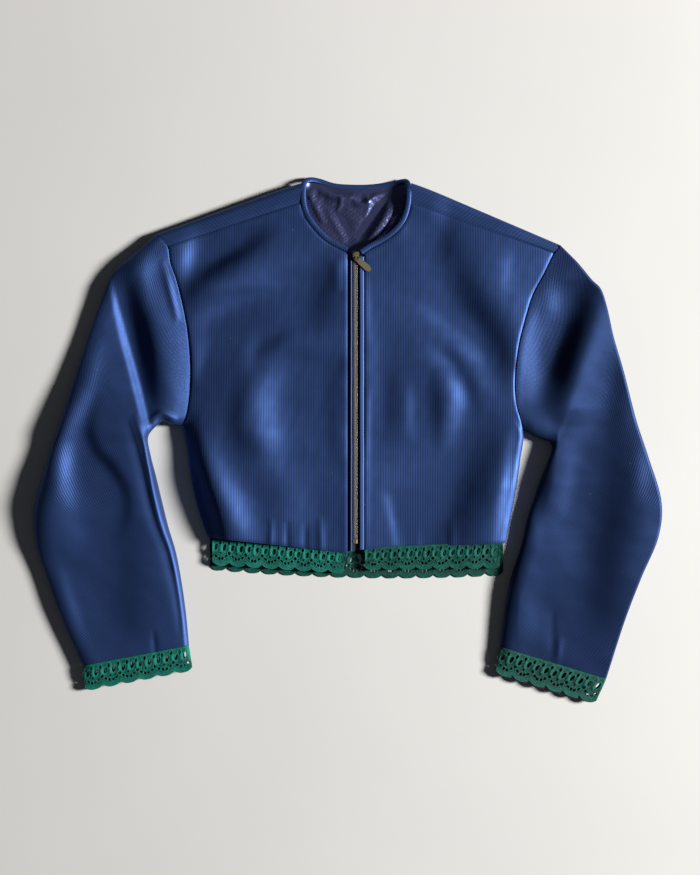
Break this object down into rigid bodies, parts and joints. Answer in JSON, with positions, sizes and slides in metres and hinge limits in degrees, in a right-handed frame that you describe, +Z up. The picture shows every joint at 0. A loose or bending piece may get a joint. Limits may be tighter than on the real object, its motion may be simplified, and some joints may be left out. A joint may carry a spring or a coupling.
{
  "type": "cropped jacket",
  "caption": "Collarless cropped jacket in navy corded satin, with a centre zip and scalloped green lace at the hem and cuffs, laid flat.",
  "frame": {"origin": "middle of the laid-out jacket's outline, on the surface it lies on", "axes": "+X towards the wearer's left sleeve, +Y towards the neck, +Z up from the surface"},
  "size_m": [0.8478, 0.7092, 0.0298],
  "materials": {
    "corded_satin": "ribbed satin with a soft sheen",
    "satin_lining": "shiny crinkled satin",
    "guipure_lace": "matt corded lace",
    "zip_tape": "woven tape",
    "antique_brass": "aged, satin"
  },
  "bodies": {
    "jacket": {"back": "corded_satin", "front_right": "corded_satin", "front_left": "corded_satin", "sleeve_upper_right": "corded_satin", "sleeve_under_right": "corded_satin", "sleeve_upper_left": "corded_satin", "sleeve_under_left": "corded_satin", "neck_binding": "corded_satin", "front_band_right": "corded_satin", "front_band_left": "corded_satin", "lining_back": "satin_lining", "hem_lace_back": "guipure_lace", "hem_lace_front_right": "guipure_lace", "hem_lace_front_left": "guipure_lace", "cuff_lace_upper_right": "guipure_lace", "cuff_lace_under_right": "guipure_lace", "cuff_lace_upper_left": "guipure_lace", "cuff_lace_under_left": "guipure_lace", "zip_tape_right": "zip_tape", "zip_tape_left": "zip_tape", "zip_chain": "antique_brass", "zip_bottom_stop": "antique_brass", "zip_slider": "antique_brass"},
    "pull": {"zip_pull": "antique_brass"}
  },
  "joints": [
    {"name": "pull_lift", "type": "hinge", "parent": "jacket", "child": "pull", "pos_m": [0.01045, 0.2452, 0.01818], "axis": [-0.6613, -0.7501, 0], "range_deg": [0, 105]}
  ]
}
